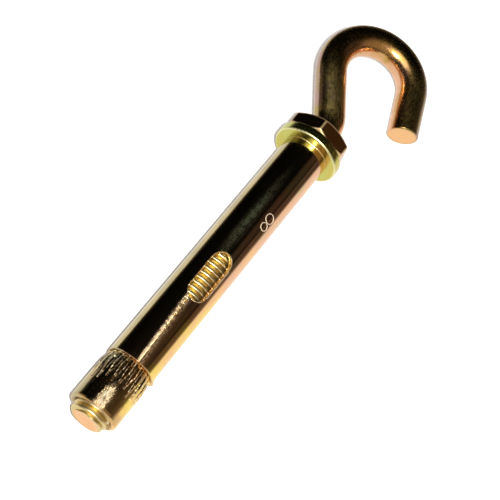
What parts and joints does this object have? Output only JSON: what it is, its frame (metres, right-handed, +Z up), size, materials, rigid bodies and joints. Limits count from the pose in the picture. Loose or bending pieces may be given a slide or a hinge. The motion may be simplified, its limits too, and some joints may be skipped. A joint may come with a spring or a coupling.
{
  "type": "hook anchor bolt",
  "caption": "Steel hook bolt with a thin hexagon nut, washer, slit expansion sleeve with a window, and a ribbed cone nut that spreads the sleeve in a drilled hole.",
  "frame": {"origin": "middle of the base of the box around the part as it lies at rest, on the surface it lies on", "axes": "+X along the bolt from its threaded end to the hook, less a tilt of about two degrees, +Z up from the surface, and the hook opens towards -Y"},
  "size_m": [0.0884, 0.0216, 0.0116],
  "materials": {
    "hook_bolt": "bright yellow-passivated zinc plate on bent wire",
    "hex_nut": "bright yellow-passivated zinc plate",
    "washer": "greenish-yellow passivated zinc plate, stamped",
    "sleeve": "bright yellow-passivated zinc plate on rolled sheet",
    "cone_nut": "yellow-passivated zinc plate, ribbed"
  },
  "bodies": {
    "bolt": {"hook_bolt": "hook_bolt"},
    "washer": {"washer": "washer"},
    "nut": {"hex_nut": "hex_nut"},
    "sleeve": {"sleeve": "sleeve"},
    "expander": {"cone_nut": "cone_nut"}
  },
  "joints": [
    {"name": "washer_slide", "type": "slide", "parent": "bolt", "child": "washer", "axis": [0.9995, 0, 0.0312], "range_m": [0, 0.001]},
    {"name": "nut_turn", "type": "hinge", "parent": "washer", "child": "nut", "pos_m": [0.01538, 0.00174, 0.00584], "axis": [0.9995, 0, 0.0312], "range_deg": [0, 360]},
    {"name": "sleeve_slide", "type": "slide", "parent": "bolt", "child": "sleeve", "axis": [-0.9995, 0, -0.0312], "range_m": [0, 0.004]},
    {"name": "cone_turn", "type": "hinge", "parent": "sleeve", "child": "expander", "pos_m": [-0.0426, 0.00174, 0.00403], "axis": [-0.9995, 0, -0.0312], "range_deg": [0, 1440]}
  ],
  "couplings": [
    {"joint": "nut_turn", "follows": "washer_slide", "rad_per_m": 6283.2},
    {"joint": "cone_turn", "follows": "sleeve_slide", "rad_per_m": 6283.2}
  ]
}
